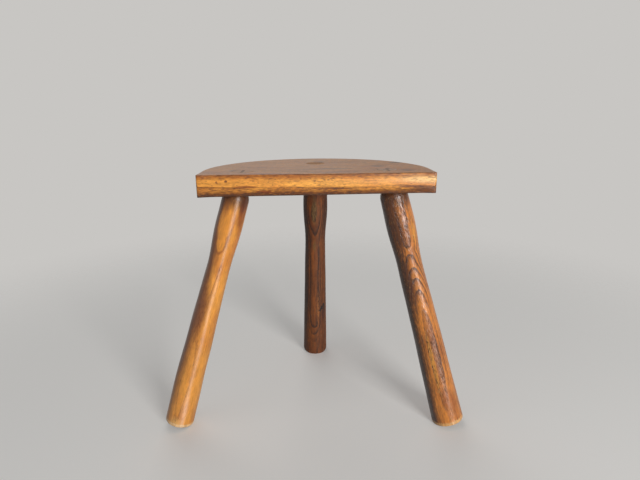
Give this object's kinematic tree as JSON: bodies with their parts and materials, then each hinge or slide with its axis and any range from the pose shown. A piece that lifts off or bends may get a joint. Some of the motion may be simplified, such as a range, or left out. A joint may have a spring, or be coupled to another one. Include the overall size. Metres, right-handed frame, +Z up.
{
  "type": "tripod stool",
  "caption": "Low tripod stool: a half-round solid wood seat on splayed turned legs, joined by wedged through tenons.",
  "frame": {"origin": "on the floor, under the middle of the overall box", "axes": "+X to the stool's right along the straight front edge of the seat, +Y from the front edge towards the half-round back, +Z up"},
  "size_m": [0.4643, 0.2901, 0.39],
  "materials": {
    "seat_wood": "amber-stained ring-porous hardwood plank, semi-gloss varnish",
    "front_left_leg_wood": "honey-stained ring-porous hardwood, turned, semi-gloss varnish",
    "front_right_leg_wood": "brown-stained ring-porous hardwood, turned, semi-gloss varnish",
    "back_leg_wood": "brown-stained ring-porous hardwood, turned, semi-gloss varnish",
    "wedge_wood": "pale close-grained hardwood end grain under the same varnish"
  },
  "bodies": {
    "root": {"seat": "seat_wood", "front_left_leg": "front_left_leg_wood", "front_right_leg": "front_right_leg_wood", "back_leg": "back_leg_wood", "front_left_wedge": "wedge_wood", "front_right_wedge": "wedge_wood", "back_wedge": "wedge_wood"}
  },
  "joints": []
}
